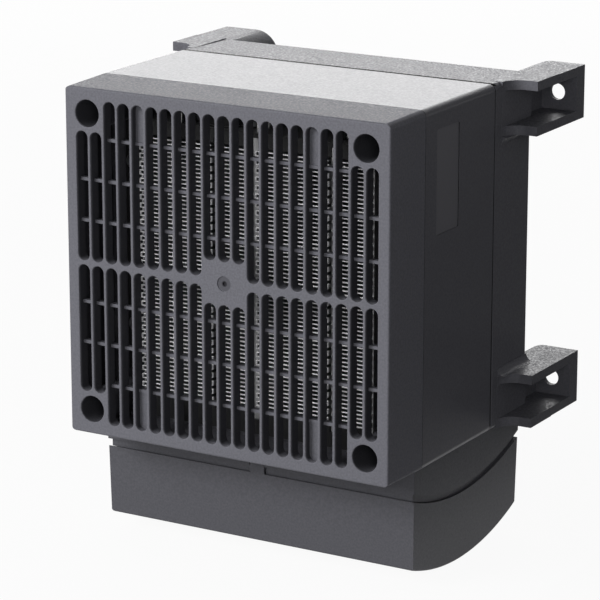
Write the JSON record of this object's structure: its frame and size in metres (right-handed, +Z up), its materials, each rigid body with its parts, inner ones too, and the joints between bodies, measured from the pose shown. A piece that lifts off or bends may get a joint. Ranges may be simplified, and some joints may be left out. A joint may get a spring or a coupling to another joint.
{
  "type": "enclosure fan heater",
  "caption": "Compact cabinet fan heater: slotted front grille over finned heating elements, axial fan behind, wall feet, and a curved terminal box with a cover below.",
  "frame": {"origin": "centre of the four foot holes, on the plane that the feet are screwed to", "axes": "+X to the right seen from the front, -Y out of the grille, +Y into the wall, +Z up"},
  "size_m": [0.16, 0.132, 0.1795],
  "materials": {
    "shell_plastic": "fine spark-eroded texture",
    "inner_plastic": "satin",
    "fan_plastic": "satin",
    "aluminium": "rolled sheet",
    "steel": "zinc plated",
    "brass": "bright",
    "winding": "varnished copper wire on a laminated core",
    "block_plastic": "satin",
    "ceramic": "sintered ceramic",
    "rubber": "soft matt"
  },
  "bodies": {
    "housing": {"front_grille": "shell_plastic", "middle_housing": "shell_plastic", "rear_housing": "shell_plastic", "terminal_box": "shell_plastic", "terminal_cover": "shell_plastic", "housing_screws": "steel", "heater_carrier": "inner_plastic", "heater_screws": "steel", "element_tubes": "aluminium", "ceramic_stones": "ceramic", "fin_strips": "aluminium", "fin_carriers": "aluminium", "contact_tabs": "steel", "temperature_limiter": "inner_plastic", "limiter_screws": "steel", "fan_frame": "fan_plastic", "fan_stator": "winding", "fan_bearing": "brass", "fan_screws": "steel", "box_screws": "steel", "terminal_block": "block_plastic", "terminal_clamps": "brass", "terminal_screws": "steel", "block_screws": "steel", "cable_grommet": "rubber", "strain_clamp": "inner_plastic", "strain_screws": "steel"},
    "impeller": {"fan_impeller": "fan_plastic", "fan_shaft": "steel", "shaft_clip": "steel"}
  },
  "joints": [
    {"name": "fan_spin", "type": "hinge", "parent": "housing", "child": "impeller", "pos_m": [0, -0.049, 0], "axis": [0, 1, 0], "continuous": true}
  ]
}
